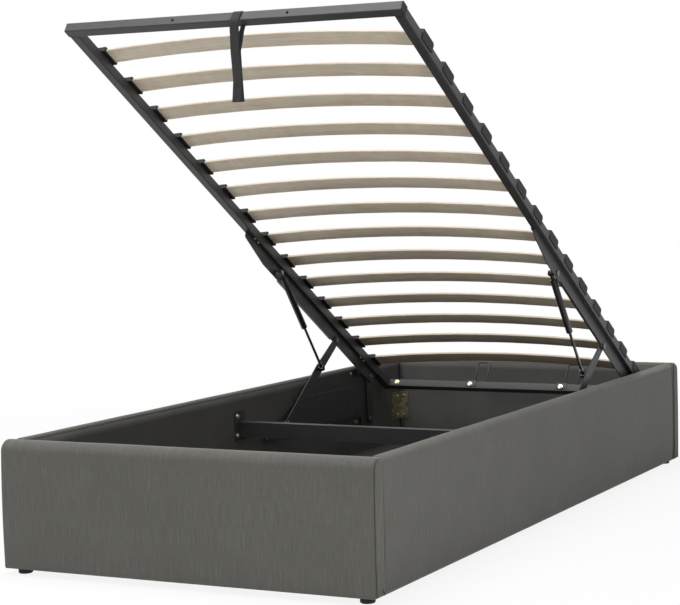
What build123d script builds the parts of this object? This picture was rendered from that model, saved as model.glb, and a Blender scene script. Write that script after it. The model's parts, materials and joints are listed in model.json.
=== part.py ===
"""Upholstered ottoman storage bed, modelled with its slatted platform raised.

+Z is up, +X runs along the footboard and +Y runs from the footboard to the head end.
The origin is on the floor, under the middle of the base. All lengths are millimetres.
"""
import os
from math import cos, hypot, radians, sin

from build123d import *

os.makedirs("parts", exist_ok=True)

# Base: outside sizes
bed_width = 980.0
bed_length = 2115.0
base_height = 316.0
ground_gap = 15.0
end_panel_thickness = 46.0
rail_thickness = 28.0
rail_setback = 3.0

# Panels: boards, padding and lining
end_front_padding = 15.0
rail_front_padding = 8.0
back_padding = 3.0
top_padding = 9.0
end_padding = 8.0
face_crown = 3.0
end_outer_roll = 20.0
end_inner_roll = 16.0
rail_outer_roll = 12.0
rail_inner_roll = 10.0
corner_roll = 5.0
lining_thickness = 1.5
lining_top_drop = 22.0

# Floor of the storage box
batten_size = 18.0
batten_lift = 3.0
floor_thickness = 4.0
floor_gap = 2.0
middle_batten_width = 50.0

# Glides
glide_radius = 17.0
glide_side_inset = 39.0
glide_end_inset = 35.0
glide_chamfer = 2.0
glide_stem_radius = 4.0
glide_stem_length = 20.0

# Screws and bolts
screw_radius = 2.5
screw_length = 14.0
screw_head_radius = 5.0
screw_head_height = 2.2
bolt_radius = 3.0
bolt_length = 16.0
bolt_head_radius = 6.0
bolt_head_height = 4.0
bolt_washer_radius = 7.5
bolt_washer_thickness = 1.2

# Corner brackets
bracket_thickness = 2.0
bracket_rail_leg = 62.0
bracket_end_leg = 30.0
bracket_bottom = 112.0
bracket_height = 90.0
bracket_screw_end_inset = 14.0
bracket_rail_screw_out = 24.0
bracket_end_screw_out = 15.0
bracket_waist_depth = 7.0
bracket_waist_height = 16.0

# Cross brace: its front face lies ahead of the base plates' front ends
brace_to_plate = 130.0
brace_depth = 28.0
brace_height = 43.0
brace_top = 230.0
brace_sheet = 2.0
brace_plate_bottom = 178.0
brace_plate_height = 85.0
brace_plate_overhang = 26.0
brace_bolt_out = 13.0
brace_bolt_end_inset = 15.0

# Platform: its gaps inside the base, and how far from the head end it stands when raised
platform_side_gap = 7.5
platform_end_gap = 20.5
platform_tilt = 32.1
platform_head_y = 178.2
platform_head_z = 224.1
tube_size = 25.0
tube_wall = 1.5
tube_corner = 2.5
plug_head = 2.0
plug_depth = 12.0
plug_clearance = 0.1
bar_hole_radius = 3.5
bar_hole_left_out = 147.0
bar_hole_right_out = 161.0

# Slats and their holders
slat_count = 14
slat_width = 50.0
slat_thickness = 7.0
slat_end_inset = 6.0
slat_crown = 24.0
first_slat_from_foot = 149.5
last_slat_from_head = 148.6
holder_length = 60.0
holder_base = 1.0
holder_inner_reach = 34.0
holder_skirt = 2.0
holder_skirt_depth = 16.0
holder_outer_rise = 10.0
holder_inner_rise = 13.5
holder_chamfer = 8.0
holder_clearance = 0.3

# Lift mechanism: its layers across the bed and the gaps between them, from the lining inwards
plate_gap = 8.0
sheet = 2.5
link_gap = 4.0
link_thickness = 3.0
arm_gap = 2.5
arm_sheet = 3.0
lever_gap = 1.5
lever_thickness = 3.0
strut_gap = 11.0

# Lift mechanism: pivots on the platform, from the head end and down from the tube
lever_pivot_u = 404.7
lever_pivot_drop = 29.7
link_pivot_u = 141.1
link_pivot_drop = 20.9
strut_pivot_u = 828.2
strut_pivot_drop = 26.1

# Lift mechanism: pivots on the base plate, from the head end and the floor
lever_base_y = 853.0
lever_base_z = 196.7
link_base_y = 303.0
link_base_z = 142.0
strut_seat_y = 657.8
strut_seat_z = 340.2

# Levers and links
lever_half_width = 13.0
link_half_width = 13.0
pivot_radius = 4.0
pivot_clearance = 0.08
pivot_head_radius = 8.0
pivot_head_height = 3.5
spacer_radius = 7.5
seat_gap = 0.3

# Lift arms
arm_tip_u = 1028.0
arm_taper_u = 900.0
arm_heel_u = 112.0
arm_heel_taper_u = 190.0
arm_depth = 40.0
arm_tip_depth = 20.0
arm_heel_depth = 34.0
arm_corner = 9.0
arm_flange_width = 12.5
arm_lip = 5.0
arm_lip_start_u = 430.0
arm_lip_end_u = 800.0
arm_bolt_low_u = 215.0
arm_bolt_high_u = 965.0
arm_bolt_spacing = 22.0
arm_bolt_inset = 7.0
arm_bolt_radius = 2.0
arm_bolt_reach = 6.0
arm_bolt_head_radius = 3.6
arm_bolt_head_height = 3.0

# Base plates: their Y places are distances from the head end
plate_foot_front_y = 955.0
plate_front_y = 883.0
plate_front_top_z = 208.0
plate_top_front_y = 770.0
plate_top_z = 258.0
plate_rear_y = 270.0
plate_rear_top_z = 214.0
plate_rear_bottom_z = 122.0
plate_step_y = 350.0
plate_shoulder_y = 325.0
plate_fold_front_z = 184.0
plate_fold_rear_z = 156.0
plate_foot_height = 30.0
plate_wing_front_y = 675.0
plate_wing_top_z = 306.0
plate_wing_rear_y = 357.0
plate_corner = 5.0
plate_rib_y = 403.0
plate_rib_width = 34.0
plate_rib_depth = 3.0
plate_rib_margin = 10.0
plate_bolt_drop = 16.0
plate_bolt_front_y = 941.0
plate_bolt_middle_y = 553.0
plate_bolt_rear_y = 377.0
plate_screw_y = 651.0
plate_screw_z = 297.0
plate_screw_rear_y = 403.0

# Gas struts
strut_radius = 9.0
strut_wall = 1.4
strut_body_length = 215.0
strut_neck_start = 20.0
strut_guide_length = 9.0
strut_floor_thickness = 3.0
rod_radius = 4.0
rod_clearance = 0.08
piston_length = 10.0
piston_clearance = 0.2
eye_radius = 8.0
eye_width = 12.0
eye_clearance = 0.08
stud_clip_radius = 6.5
stud_clip_thickness = 1.6
rod_boss_length = 22.0
rod_boss_radius = 5.5
rod_reach_inside = 34.0

# Mattress stops on the head bar
stop_wire_radius = 2.8
stop_height = 72.0
stop_width = 41.0
stop_bend = 9.0
stop_left_w = -109.0
stop_right_w = 198.0
stop_wire_u = 15.0
stop_bracket_width = 34.0
stop_bracket_thickness = 2.0
stop_bracket_drop = 20.0
stop_bracket_depth = 18.0
stop_bracket_shift = 5.0
stop_bolt_side = 8.0
stop_bolt_n = 14.0
frame_bolt_side = 29.0

# Lift strap of webbing
strap_width = 27.0
strap_thickness = 2.0
strap_drop = 214.0
strap_w = 24.0
strap_gap = 0.3
strap_slit = 0.8
strap_join_drop = 92.0

# Places that follow from the sizes above
half_width = bed_width / 2
half_length = bed_length / 2
overrun = 5.0
rail_outer = half_width - rail_setback
rail_inner = rail_outer - rail_thickness
lining_inner = rail_inner - lining_thickness
front_inner = end_panel_thickness - half_length
head_inner = half_length - end_panel_thickness
rail_length = head_inner - front_inner
box_half_length = head_inner - lining_thickness
tilt = radians(platform_tilt)

# Platform: it fits inside the lined base with a gap all round, and its slats share out its length
half_platform = lining_inner - platform_side_gap
platform_width = 2 * half_platform
platform_length = 2 * (box_half_length - platform_end_gap)
slat_half_span = half_platform - slat_end_inset
slat_pitch = (platform_length - first_slat_from_foot - last_slat_from_head) / (slat_count - 1)

# Lift mechanism: its layers, as distances from the middle of the bed
web_outer = lining_inner - plate_gap
plate_inner = web_outer - sheet
link_outer = plate_inner - link_gap
link_inner = link_outer - link_thickness
arm_outer = link_inner - arm_gap
arm_inner = arm_outer - arm_sheet
lever_outer = arm_inner - lever_gap
lever_inner = lever_outer - lever_thickness
strut_axis_out = lever_inner - strut_gap
brace_front = plate_foot_front_y + brace_to_plate


def from_head(y):
    """Turn a distance from the head end of the base into a Y coordinate."""
    return half_length - y


# The platform plane: local X across the bed, local Y towards the head, local Z towards the mattress
platform = Plane(
    origin=(0, from_head(platform_head_y), platform_head_z),
    x_dir=(1, 0, 0),
    z_dir=(0, sin(tilt), cos(tilt)),
)


def platform_point(w, u, n):
    """A point on the platform: w across, u from its head end, n above its underside."""
    return platform.from_local_coords((w, -u, n))


def side_plane(side, near, far):
    """A plane whose sketches are drawn as (Y, Z), on the lower X face of a sheet between two distances."""
    return Plane(origin=(min(side * near, side * far), 0, 0), x_dir=(0, 1, 0), z_dir=(1, 0, 0))


def platform_side_plane(side, near, far):
    """A plane whose sketches are drawn as (-u, n), on the lower X face of a sheet."""
    x = min(side * near, side * far)
    along = platform.y_dir
    return Plane(origin=platform_point(x, 0, 0), x_dir=along, z_dir=(1, 0, 0))


def yz(u, n):
    """The Y and Z of a point of the platform."""
    point = platform_point(0, u, n)
    return point.Y, point.Z


lever_base = (from_head(lever_base_y), lever_base_z)
link_base = (from_head(link_base_y), link_base_z)
strut_seat = (from_head(strut_seat_y), strut_seat_z)
lever_top = yz(lever_pivot_u, -lever_pivot_drop)
link_top = yz(link_pivot_u, -link_pivot_drop)
strut_top = yz(strut_pivot_u, -strut_pivot_drop)
sides = ((-1, "left"), (1, "right"))


def save(piece, name):
    """Label a finished piece and write its file."""
    piece.part.label = name
    export_step(piece.part, f"parts/{name}.step")


# Padded panels: each is drawn in section, X inwards from its outer face and Y up, then run along
front_section = Plane(origin=(-half_width, -half_length, 0), x_dir=(0, 1, 0), z_dir=(1, 0, 0))
head_section = Plane(origin=(half_width, half_length, 0), x_dir=(0, -1, 0), z_dir=(-1, 0, 0))
left_section = Plane(origin=(-rail_outer, head_inner, 0), x_dir=(1, 0, 0), z_dir=(0, -1, 0))
right_section = Plane(origin=(rail_outer, front_inner, 0), x_dir=(-1, 0, 0), z_dir=(0, 1, 0))

end_sizes = (end_panel_thickness, end_front_padding, end_outer_roll, end_inner_roll)
rail_sizes = (rail_thickness, rail_front_padding, rail_outer_roll, rail_inner_roll)
panels = (
    ("footboard", front_section, bed_width, end_padding, end_sizes),
    ("head_panel", head_section, bed_width, end_padding, end_sizes),
    ("left_rail", left_section, rail_length, 0, rail_sizes),
    ("right_rail", right_section, rail_length, 0, rail_sizes),
)


def cover_outline(thickness, outer_roll, inner_roll):
    """Draw a padded panel's section: crowned outer face, rolled top and flat inner face."""
    bottom = ground_gap
    with BuildLine() as outline:
        face = ThreePointArc(
            (face_crown, bottom),
            (0, (bottom + base_height - outer_roll) / 2),
            (face_crown, base_height - outer_roll),
        )
        roll = JernArc(start=face @ 1, tangent=(0, 1), radius=outer_roll, arc_size=-90)
        top = Line(roll @ 1, (thickness - inner_roll, base_height))
        fall = JernArc(start=top @ 1, tangent=(1, 0), radius=inner_roll, arc_size=-90)
        back = Line(fall @ 1, (thickness, bottom))
        Line(back @ 1, face @ 0)
    return outline


def board_rectangle(thickness, front_padding, extra):
    """Draw the board inside a padded panel, with some extra length below for cutting."""
    with Locations((front_padding, ground_gap - extra)):
        Rectangle(
            thickness - front_padding - back_padding,
            base_height - top_padding - ground_gap + extra,
            align=(Align.MIN, Align.MIN),
        )


# Places of the screws and bolts that go into the panels
bracket_screw_heights = (
    bracket_bottom + bracket_screw_end_inset,
    bracket_bottom + bracket_height - bracket_screw_end_inset,
)
bracket_rail_places = [
    (end * (head_inner - bracket_rail_screw_out), z) for end in (-1, 1) for z in bracket_screw_heights
]
end_screw_places = [
    (side * (lining_inner - bracket_end_screw_out), z) for side in (-1, 1) for z in bracket_screw_heights
]


def fold_height(y):
    """Height of the base plate's lower fold at a distance y from the head end."""
    share = (y - plate_foot_front_y) / (plate_step_y - plate_foot_front_y)
    return plate_fold_front_z + share * (plate_fold_rear_z - plate_fold_front_z)


plate_bolt_places = [
    (from_head(y), fold_height(y) - plate_bolt_drop)
    for y in (plate_bolt_front_y, plate_bolt_middle_y, plate_bolt_rear_y)
]
brace_bolt_places = [
    (from_head(brace_front + brace_bolt_out), brace_plate_bottom + brace_bolt_end_inset),
    (from_head(brace_front + brace_bolt_out), brace_plate_bottom + brace_plate_height - brace_bolt_end_inset),
]
plate_screw_places = [(from_head(y), plate_screw_z) for y in (plate_screw_y, plate_screw_rear_y)]
rail_bolt_places = plate_bolt_places + brace_bolt_places
rail_screw_places = bracket_rail_places + plate_screw_places
glide_places = [
    (sx * (half_width - glide_side_inset), sy * (half_length - glide_end_inset))
    for sx in (-1, 1)
    for sy in (-1, 1)
]


def cut_panel_holes(name):
    """Cut the holes for the screws, bolts and glide stems that enter a panel."""
    screw_depth = screw_length - bracket_thickness
    bolt_depth = bolt_length - sheet
    if name in ("left_rail", "right_rail"):
        side = -1 if name == "left_rail" else 1
        for places, radius, depth in (
            (rail_screw_places, screw_radius, screw_depth),
            (rail_bolt_places, bolt_radius, bolt_depth),
        ):
            with BuildSketch(side_plane(side, lining_inner - overrun, lining_inner + depth)) as holes:
                with Locations(*places):
                    Circle(radius)
            extrude(holes.sketch, amount=depth + overrun, mode=Mode.SUBTRACT)
    else:
        end = -1 if name == "footboard" else 1
        lining_face = end * (head_inner - lining_thickness)
        wall = Plane(origin=(0, lining_face - end * overrun, 0), x_dir=(1, 0, 0), z_dir=(0, -1, 0))
        with BuildSketch(wall) as holes:
            with Locations(*end_screw_places):
                Circle(screw_radius)
        extrude(holes.sketch, amount=-end * (screw_depth + overrun), mode=Mode.SUBTRACT)
        stems = [(x, y) for x, y in glide_places if y * end > 0]
        with BuildSketch(Plane.XY.offset(ground_gap - overrun)) as holes:
            with Locations(*stems):
                Circle(glide_stem_radius)
        extrude(holes.sketch, amount=glide_stem_length + overrun, mode=Mode.SUBTRACT)


for panel_name, section, run, end_cover, (thickness, front_padding, outer_roll, inner_roll) in panels:
    with BuildPart() as board:
        with BuildSketch(section.offset(end_cover)):
            board_rectangle(thickness, front_padding, 0)
        extrude(amount=run - 2 * end_cover)
        cut_panel_holes(panel_name)
    save(board, f"{panel_name}_board")

    with BuildPart() as cover:
        with BuildSketch(section):
            add(cover_outline(thickness, outer_roll, inner_roll).line)
            make_face()
        extrude(amount=run)
        if end_cover:
            ends = cover.faces().filter_by(Axis.X)
            rims = [edge for edge in ends.edges() if edge.center().Z > ground_gap + corner_roll]
            fillet(rims, radius=corner_roll)
        with BuildSketch(section.offset(end_cover)):
            board_rectangle(thickness, front_padding, overrun)
        extrude(amount=run - 2 * end_cover, mode=Mode.SUBTRACT)
        cut_panel_holes(panel_name)
    save(cover, f"{panel_name}_cover")

# Lining: thin dark sheets on the inner faces of the panels
lining_height = base_height - lining_top_drop - ground_gap
lining_middle = ground_gap + lining_height / 2
with BuildPart() as rail_linings:
    for side, _ in sides:
        with BuildSketch(side_plane(side, lining_inner, rail_inner)):
            with Locations((0, lining_middle)):
                Rectangle(rail_length, lining_height)
            with Locations(*rail_screw_places):
                Circle(screw_radius, mode=Mode.SUBTRACT)
            with Locations(*rail_bolt_places):
                Circle(bolt_radius, mode=Mode.SUBTRACT)
        extrude(amount=lining_thickness)
save(rail_linings, "rail_linings")

with BuildPart() as end_linings:
    for end in (-1, 1):
        face = max(end * head_inner, end * (head_inner - lining_thickness))
        with BuildSketch(Plane(origin=(0, face, 0), x_dir=(1, 0, 0), z_dir=(0, -1, 0))):
            with Locations((0, lining_middle)):
                Rectangle(2 * lining_inner, lining_height)
            with Locations(*end_screw_places):
                Circle(screw_radius, mode=Mode.SUBTRACT)
        extrude(amount=lining_thickness)
save(end_linings, "end_linings")

# Floor: battens along the four panels and across the middle, with two boards on them
batten_bottom = ground_gap + batten_lift
with BuildPart() as floor_battens:
    with BuildSketch(Plane.XY.offset(batten_bottom)):
        for side, _ in sides:
            with Locations((side * (lining_inner - batten_size / 2), 0)):
                Rectangle(batten_size, 2 * box_half_length)
        for end in (-1, 1):
            with Locations((0, end * (box_half_length - batten_size / 2))):
                Rectangle(2 * lining_inner, batten_size)
        Rectangle(2 * lining_inner, middle_batten_width)
    extrude(amount=batten_size)
save(floor_battens, "floor_battens")

floor_board_length = box_half_length - 1.5 * floor_gap
with BuildPart() as floor_boards:
    with BuildSketch(Plane.XY.offset(batten_bottom + batten_size)):
        with Locations(*[(0, end * (floor_gap + floor_board_length) / 2) for end in (-1, 1)]):
            Rectangle(2 * (lining_inner - floor_gap), floor_board_length)
    extrude(amount=floor_thickness)
save(floor_boards, "floor_boards")

# Glides under the corners, with stems screwed up into the end panels
with BuildPart() as glides:
    with BuildSketch(Plane.XY):
        with Locations(*glide_places):
            Circle(glide_radius)
    extrude(amount=ground_gap)
    chamfer(glides.faces().sort_by(Axis.Z)[: len(glide_places)].edges(), glide_chamfer)
    with BuildSketch(Plane.XY.offset(ground_gap)):
        with Locations(*glide_places):
            Circle(glide_stem_radius)
    extrude(amount=glide_stem_length)
save(glides, "glides")


def add_fixings(face, outward, places, shank, reach, head, head_height, washer=0.0):
    """Add screws or bolts: a head on the inner side of a face and a shank running outward."""
    with BuildSketch(face) as heads:
        with Locations(*places):
            if washer:
                RegularPolygon(head, 6)
            else:
                Circle(head)
    extrude(heads.sketch, amount=-outward * (head_height + (bolt_washer_thickness if washer else 0)))
    if washer:
        with BuildSketch(face) as washers:
            with Locations(*places):
                Circle(washer)
        extrude(washers.sketch, amount=-outward * bolt_washer_thickness)
    with BuildSketch(face) as shanks:
        with Locations(*places):
            Circle(shank)
    extrude(shanks.sketch, amount=outward * reach)


def side_face(side, out):
    """A plane across the bed at a distance out from the middle, with sketches drawn as (Y, Z)."""
    return Plane(origin=(side * out, 0, 0), x_dir=(0, 1, 0), z_dir=(1, 0, 0))


def end_face(end, out):
    """A plane along the bed at a distance out from the middle, with sketches drawn as (X, Z)."""
    return Plane(origin=(0, end * out, 0), x_dir=(1, 0, 0), z_dir=(0, -1, 0))


# Corner brackets of folded sheet, and the screws that hold them
bracket_middle = bracket_bottom + bracket_height / 2
with BuildPart() as corner_brackets:
    for side, _ in sides:
        with BuildSketch(side_plane(side, lining_inner - bracket_thickness, lining_inner)):
            for end in (-1, 1):
                with Locations((end * (box_half_length - bracket_rail_leg / 2), bracket_middle)):
                    Rectangle(bracket_rail_leg, bracket_height)
                with Locations((end * (box_half_length - bracket_rail_leg), bracket_middle)):
                    Rectangle(2 * bracket_waist_depth, bracket_waist_height, mode=Mode.SUBTRACT)
            with Locations(*bracket_rail_places):
                Circle(screw_radius, mode=Mode.SUBTRACT)
        extrude(amount=bracket_thickness)
    for end in (-1, 1):
        with BuildSketch(end_face(end, box_half_length)):
            for side, _ in sides:
                with Locations((side * (lining_inner - bracket_end_leg / 2), bracket_middle)):
                    Rectangle(bracket_end_leg, bracket_height)
                with Locations((side * (lining_inner - bracket_end_leg), bracket_middle)):
                    Rectangle(2 * bracket_waist_depth, bracket_waist_height, mode=Mode.SUBTRACT)
            with Locations(*end_screw_places):
                Circle(screw_radius, mode=Mode.SUBTRACT)
        extrude(amount=end * bracket_thickness)
save(corner_brackets, "corner_brackets")

screw_sizes = (screw_radius, screw_length, screw_head_radius, screw_head_height)
with BuildPart() as wood_screws:
    for side, _ in sides:
        seat = side_face(side, lining_inner - bracket_thickness)
        add_fixings(seat, side, bracket_rail_places, *screw_sizes)
        plate_seat = side_face(side, lining_inner - sheet)
        add_fixings(plate_seat, side, plate_screw_places, *screw_sizes)
    for end in (-1, 1):
        seat = end_face(end, box_half_length - bracket_thickness)
        add_fixings(seat, -end, end_screw_places, *screw_sizes)
save(wood_screws, "wood_screws")

# Cross brace: a folded channel, open below, welded to an end plate at each rail
brace_middle_y = from_head(brace_front - brace_depth / 2)
brace_plate_face = lining_inner - sheet
with BuildPart() as cross_brace:
    with BuildSketch(side_plane(1, -brace_plate_face, brace_plate_face)):
        with Locations((brace_middle_y, brace_top - brace_height / 2)):
            Rectangle(brace_depth, brace_height)
        with Locations((brace_middle_y, brace_top - brace_height / 2 - brace_sheet)):
            Rectangle(brace_depth - 2 * brace_sheet, brace_height, mode=Mode.SUBTRACT)
    extrude(amount=2 * brace_plate_face)
    plate_length = brace_depth + brace_plate_overhang
    for side, _ in sides:
        with BuildSketch(side_plane(side, brace_plate_face, lining_inner)) as plate:
            with Locations((
                from_head(brace_front - brace_depth + plate_length / 2),
                brace_plate_bottom + brace_plate_height / 2,
            )):
                Rectangle(plate_length, brace_plate_height)
            fillet(plate.vertices(), radius=plate_corner)
            with Locations(*brace_bolt_places):
                Circle(bolt_radius, mode=Mode.SUBTRACT)
        extrude(amount=sheet)
save(cross_brace, "cross_brace")

bolt_sizes = (bolt_radius, bolt_length, bolt_head_radius, bolt_head_height, bolt_washer_radius)
with BuildPart() as rail_bolts:
    for side, _ in sides:
        seat = side_face(side, lining_inner - sheet)
        add_fixings(seat, side, rail_bolt_places, *bolt_sizes)
save(rail_bolts, "rail_bolts")


# Platform frame: square tubes welded at the corners
def cross_plane(u):
    """A plane across the platform at a distance u from its head end, with sketches drawn as (w, n)."""
    return Plane(origin=platform_point(0, u, 0), x_dir=(1, 0, 0), z_dir=-platform.y_dir)


tube_inner = tube_size - 2 * tube_wall
foot_bar_u = platform_length - tube_size / 2
arm_bolt_spots = [
    (side * (arm_outer - arm_bolt_inset), -(u + step))
    for u in (arm_bolt_low_u, arm_bolt_high_u)
    for step in (0, arm_bolt_spacing)
    for side, _ in sides
]

for side, hand in sides:
    with BuildPart() as side_tube:
        with BuildSketch(cross_plane(0)):
            with Locations((side * (half_platform - tube_size / 2), tube_size / 2)):
                RectangleRounded(tube_size, tube_size, tube_corner)
                RectangleRounded(tube_inner, tube_inner, tube_corner - tube_wall, mode=Mode.SUBTRACT)
        extrude(amount=platform_length - tube_size)
        with BuildSketch(platform):
            with Locations(*[spot for spot in arm_bolt_spots if spot[0] * side > 0]):
                Circle(arm_bolt_radius)
        extrude(amount=2 * tube_wall, mode=Mode.SUBTRACT)
    save(side_tube, f"{hand}_side_tube")

with BuildPart() as foot_bar:
    with BuildSketch(platform_side_plane(1, -half_platform, half_platform)):
        with Locations((-foot_bar_u, tube_size / 2)):
            RectangleRounded(tube_size, tube_size, tube_corner)
            RectangleRounded(tube_inner, tube_inner, tube_corner - tube_wall, mode=Mode.SUBTRACT)
    extrude(amount=platform_width)
    with BuildSketch(cross_plane(platform_length)):
        with Locations((-bar_hole_left_out, tube_size / 2), (bar_hole_right_out, tube_size / 2)):
            Circle(bar_hole_radius)
    extrude(amount=-2 * tube_wall, mode=Mode.SUBTRACT)
save(foot_bar, "foot_bar")

stop_middles = (stop_left_w, stop_right_w)
stop_bolt_ws = [w - stop_width / 2 - stop_bolt_side for w in stop_middles]
frame_bolt_ws = [side * (half_platform - tube_size - frame_bolt_side) for side, _ in sides]
bar_bolt_places = [(w, stop_bolt_n) for w in stop_bolt_ws + frame_bolt_ws]
head_bar_half = half_platform - tube_size
with BuildPart() as head_bar:
    with BuildSketch(platform_side_plane(1, -head_bar_half, head_bar_half)):
        with Locations((-tube_size / 2, tube_size / 2)):
            RectangleRounded(tube_size, tube_size, tube_corner)
            RectangleRounded(tube_inner, tube_inner, tube_corner - tube_wall, mode=Mode.SUBTRACT)
    extrude(amount=2 * head_bar_half)
    with BuildSketch(cross_plane(tube_size)):
        with Locations(*bar_bolt_places):
            Circle(bolt_radius)
    extrude(amount=-2 * tube_wall, mode=Mode.SUBTRACT)
save(head_bar, "head_bar")

# Plastic plugs in the open tube ends: two in the foot bar, two in the side tubes at the head end
plug_size = tube_inner - 2 * plug_clearance
with BuildPart() as tube_plugs:
    for side, _ in sides:
        bar_end = platform_side_plane(1, side * half_platform, side * half_platform)
        with BuildSketch(bar_end):
            with Locations((-foot_bar_u, tube_size / 2)):
                RectangleRounded(tube_size, tube_size, tube_corner)
        extrude(amount=side * plug_head)
        with BuildSketch(bar_end):
            with Locations((-foot_bar_u, tube_size / 2)):
                RectangleRounded(plug_size, plug_size, tube_corner - tube_wall)
        extrude(amount=-side * plug_depth)
    tube_ends = [(side * (half_platform - tube_size / 2), tube_size / 2) for side, _ in sides]
    with BuildSketch(cross_plane(0)):
        with Locations(*tube_ends):
            RectangleRounded(tube_size, tube_size, tube_corner)
    extrude(amount=-plug_head)
    with BuildSketch(cross_plane(0)):
        with Locations(*tube_ends):
            RectangleRounded(plug_size, plug_size, tube_corner - tube_wall)
    extrude(amount=plug_depth)
save(tube_plugs, "tube_plugs")

# Slats: bowed towards the mattress, each end held in a plastic saddle on a side tube
slat_seat = tube_size + holder_base
slat_us = [platform_length - first_slat_from_foot - slat_pitch * index for index in range(slat_count)]


def slat_outline(clearance):
    """Draw a slat's section across the bed, grown all round by a clearance."""
    half = slat_half_span + clearance
    low = slat_seat - clearance
    high = slat_seat + slat_thickness + clearance
    with BuildLine() as outline:
        under = ThreePointArc((-half, low), (0, low + slat_crown), (half, low))
        end = Line(under @ 1, (half, high))
        over = ThreePointArc(end @ 1, (0, high + slat_crown), (-half, high))
        Line(over @ 1, under @ 0)
    return outline.line


for index, slat_u in enumerate(slat_us, start=1):
    with BuildPart() as slat:
        with BuildSketch(cross_plane(slat_u - slat_width / 2)):
            add(slat_outline(0))
            make_face()
        extrude(amount=slat_width)
    save(slat, f"slat_{index:02d}")

pocket_width = slat_width + 2 * holder_clearance
holder_bottom = tube_size - holder_skirt_depth
holder_top = tube_size + holder_inner_rise
for side, hand in sides:
    with BuildPart() as holders:
        with BuildSketch(cross_plane(slat_us[-1] - holder_length)):
            with BuildLine():
                Polyline(
                    (side * (half_platform - holder_inner_reach), tube_size),
                    (side * half_platform, tube_size),
                    (side * half_platform, holder_bottom),
                    (side * (half_platform + holder_skirt), holder_bottom),
                    (side * (half_platform + holder_skirt), tube_size + holder_outer_rise),
                    (side * (half_platform - holder_inner_reach), holder_top),
                    close=True,
                )
            make_face()
        extrude(amount=slat_us[0] - slat_us[-1] + 2 * holder_length)
        near = half_platform - holder_inner_reach - overrun
        far = half_platform + holder_skirt + overrun
        with BuildSketch(platform_side_plane(side, near, far)):
            for slat_u in slat_us:
                foot_edge = -(slat_u + holder_length / 2)
                head_edge = -(slat_u - holder_length / 2)
                with BuildLine():
                    Polyline(
                        (foot_edge, holder_bottom),
                        (foot_edge, holder_top),
                        (head_edge - holder_chamfer, holder_top),
                        (head_edge, holder_top - holder_chamfer),
                        (head_edge, holder_bottom),
                        close=True,
                    )
                make_face()
        extrude(amount=far - near, mode=Mode.INTERSECT)
        for slat_u in slat_us:
            with BuildSketch(cross_plane(slat_u - pocket_width / 2)):
                add(slat_outline(holder_clearance))
                make_face()
            extrude(amount=pocket_width, mode=Mode.SUBTRACT)
    save(holders, f"{hand}_slat_holders")


# Lift mechanism, drawn side by side for the left and the right
def add_steps(side, place, steps):
    """Add a stepped pin across the bed: each step runs between two distances with its own radius."""
    for near, far, radius in steps:
        with BuildSketch(side_plane(side, near, far)) as disc:
            with Locations(place):
                Circle(radius)
        extrude(disc.sketch, amount=far - near)


def add_sheet(side, near, far, points):
    """Add a flat sheet across the bed, with its outline given as distances from the head end."""
    with BuildSketch(side_plane(side, near, far)) as face:
        with BuildLine():
            Polyline(*[(from_head(y), z) for y, z in points], close=True)
        make_face()
    extrude(face.sketch, amount=far - near)


flange_inner = lining_inner - sheet
foot_points = (
    (plate_foot_front_y, fold_height(plate_foot_front_y) - sheet / 2),
    (plate_foot_front_y, fold_height(plate_foot_front_y) - plate_foot_height),
    (plate_step_y, fold_height(plate_step_y) - plate_foot_height),
    (plate_step_y, fold_height(plate_step_y) - sheet / 2),
)
lower_fold_points = (
    (plate_front_y, fold_height(plate_front_y) - sheet),
    (plate_step_y, fold_height(plate_step_y) - sheet),
    (plate_step_y, fold_height(plate_step_y)),
    (plate_front_y, fold_height(plate_front_y)),
)
web_points = (
    (plate_front_y, fold_height(plate_front_y) - sheet / 2),
    (plate_front_y, plate_front_top_z),
    (plate_top_front_y, plate_top_z),
    (plate_shoulder_y, plate_top_z),
    (plate_rear_y, plate_rear_top_z),
    (plate_rear_y, plate_rear_bottom_z),
    (plate_step_y, plate_rear_bottom_z),
    (plate_step_y, fold_height(plate_step_y) - sheet / 2),
)
upper_fold_points = (
    (plate_top_front_y, plate_top_z - sheet),
    (plate_wing_rear_y, plate_top_z - sheet),
    (plate_wing_rear_y, plate_top_z),
    (plate_top_front_y, plate_top_z),
)
wing_points = (
    (plate_top_front_y, plate_top_z - sheet / 2),
    (plate_wing_front_y, plate_wing_top_z),
    (plate_wing_rear_y, plate_wing_top_z),
    (plate_wing_rear_y, plate_top_z - sheet / 2),
)
rib_front = plate_rib_y + plate_rib_width / 2
rib_rear = plate_rib_y - plate_rib_width / 2
rib_points = (
    (rib_front, fold_height(rib_front) + plate_rib_margin),
    (rib_rear, fold_height(rib_rear) + plate_rib_margin),
    (rib_rear, plate_top_z - plate_rib_margin),
    (rib_front, plate_top_z - plate_rib_margin),
)

for side, hand in sides:
    with BuildPart() as base_plate:
        add_sheet(side, flange_inner, lining_inner, foot_points)
        add_sheet(side, plate_inner, lining_inner, lower_fold_points)
        add_sheet(side, plate_inner, web_outer, web_points)
        add_sheet(side, plate_inner, lining_inner, upper_fold_points)
        add_sheet(side, flange_inner, lining_inner, wing_points)
        add_sheet(side, plate_inner - plate_rib_depth, plate_inner + sheet / 2, rib_points)
        for places, radius in (
            (plate_bolt_places, bolt_radius),
            (plate_screw_places, screw_radius),
            ((lever_base, link_base), pivot_radius),
        ):
            with BuildSketch(side_plane(side, plate_inner - overrun, lining_inner)):
                with Locations(*places):
                    Circle(radius)
            extrude(amount=lining_inner - plate_inner + overrun, mode=Mode.SUBTRACT)
    save(base_plate, f"{hand}_base_plate")

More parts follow.
